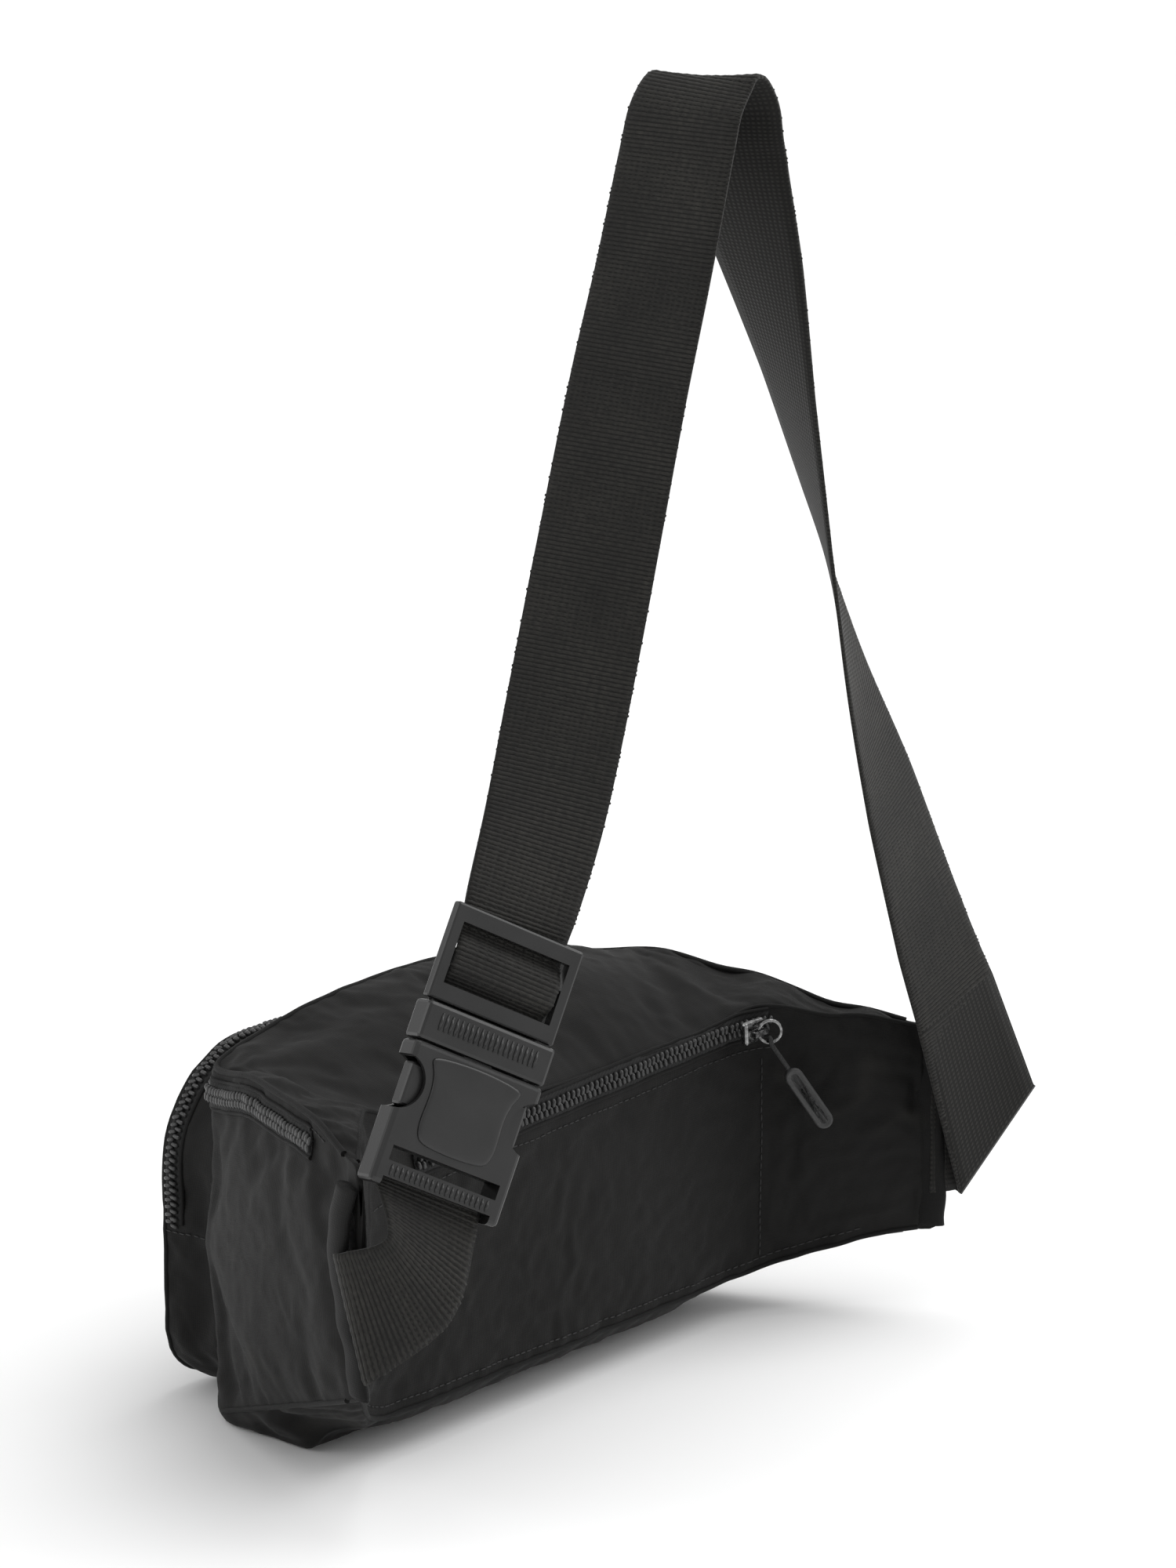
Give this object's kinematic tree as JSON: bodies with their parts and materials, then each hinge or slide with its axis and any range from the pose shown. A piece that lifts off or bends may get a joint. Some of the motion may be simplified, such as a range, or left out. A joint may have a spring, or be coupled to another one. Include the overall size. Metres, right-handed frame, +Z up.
{
  "type": "waist pack",
  "caption": "Soft waist pack with a zipped main pouch, a front pocket, two padded hip wings and a webbing belt closed by a side-release buckle.",
  "frame": {"origin": "middle of the flat of the base, where the pack rests", "axes": "+Z up, -Y towards the front pocket, +X towards the wing that carries the buckle"},
  "size_m": [0.3424, 0.1809, 0.4424],
  "materials": {
    "nylon": "crinkled matte nylon",
    "binding": "folded seam tape",
    "webbing": "ribbed woven webbing",
    "zip_tape": "woven tape",
    "zip_coil": "satin",
    "buckle_plastic": "satin moulded",
    "slider_steel": "worn plated",
    "slider_black": "satin",
    "pull_cord": "braided",
    "pull_rubber": "matt"
  },
  "bodies": {
    "bag": {"back_panel": "nylon", "back_zip_coil": "zip_coil", "back_zip_tape": "zip_tape", "base_panel": "nylon", "buckle_socket": "buckle_plastic", "end_panel_far": "nylon", "end_panel_near": "nylon", "front_panel": "nylon", "main_zip_coil": "zip_coil", "main_zip_tape": "zip_tape", "pocket_face": "nylon", "pocket_gusset_lower": "nylon", "pocket_gusset_upper": "nylon", "pocket_zip_coil": "zip_coil", "pocket_zip_tape": "zip_tape", "strap": "webbing", "stub": "webbing", "top_panel": "nylon", "wing_seam_far": "binding", "wing_seam_near": "binding"},
    "plug": {"buckle_plug": "buckle_plastic", "strap_return": "webbing"},
    "left_arm": {"arm_left": "buckle_plastic"},
    "right_arm": {"arm_right": "buckle_plastic"},
    "adjuster": {"slide": "buckle_plastic"},
    "back_zip_slider": {"back_slider": "slider_steel"},
    "back_zip_pull": {"back_ring": "slider_steel", "back_cord": "pull_cord", "back_tab": "pull_rubber"},
    "main_zip_slider": {"main_slider": "slider_black"},
    "main_zip_pull": {"main_ring": "slider_black", "main_cord": "pull_cord", "main_tab": "pull_rubber"},
    "pocket_zip_slider": {"pocket_slider": "slider_black"},
    "pocket_zip_pull": {"pocket_ring": "slider_black", "pocket_cord": "pull_cord", "pocket_tab": "pull_rubber"}
  },
  "joints": [
    {"name": "buckle_release", "type": "slide", "parent": "bag", "child": "plug", "axis": [-0.4882, 0.0043, 0.8727], "range_m": [0, 0.035], "deforming": ["strap"]},
    {"name": "left_arm_squeeze", "type": "hinge", "parent": "plug", "child": "left_arm", "pos_m": [0.12435, 0.08786, 0.15773], "axis": [0.3249, 0.929, 0.1771], "range_deg": [0, 8], "stiffness_Nm_per_rad": 0.2},
    {"name": "right_arm_squeeze", "type": "hinge", "parent": "plug", "child": "right_arm", "pos_m": [0.09924, 0.09933, 0.14362], "axis": [-0.3249, -0.929, -0.1771], "range_deg": [0, 8], "stiffness_Nm_per_rad": 0.2},
    {"name": "belt_adjuster_travel", "type": "slide", "parent": "plug", "child": "adjuster", "axis": [-0.4882, 0.0043, 0.8727], "range_m": [0, 0.03], "deforming": ["strap"]},
    {"name": "back_zip_travel", "type": "slide", "parent": "bag", "child": "back_zip_slider", "axis": [0.9988, 0, -0.0499], "range_m": [0, 0.12]},
    {"name": "back_pull_swing", "type": "hinge", "parent": "back_zip_slider", "child": "back_zip_pull", "pos_m": [-0.092, 0.04494, 0.10695], "axis": [-0.0499, 0, -0.9988], "range_deg": [0, 100]},
    {"name": "main_zip_travel", "type": "slide", "parent": "bag", "child": "main_zip_slider", "axis": [0.4192, -0.8927, 0.1657], "range_m": [0, 0.02]},
    {"name": "main_pull_swing", "type": "hinge", "parent": "main_zip_slider", "child": "main_zip_pull", "pos_m": [-0.11907, -0.00139, 0.11268], "axis": [-0.0704, 0.15, 0.9862], "range_deg": [-65, 30]},
    {"name": "pocket_zip_travel", "type": "slide", "parent": "bag", "child": "pocket_zip_slider", "axis": [0, 0, 1], "range_m": [0, 0.009]},
    {"name": "pocket_pull_swing", "type": "hinge", "parent": "pocket_zip_slider", "child": "pocket_zip_pull", "pos_m": [-0.0955, -0.0602, 0.064], "axis": [0, 1, 0], "range_deg": [0, 100]}
  ]
}
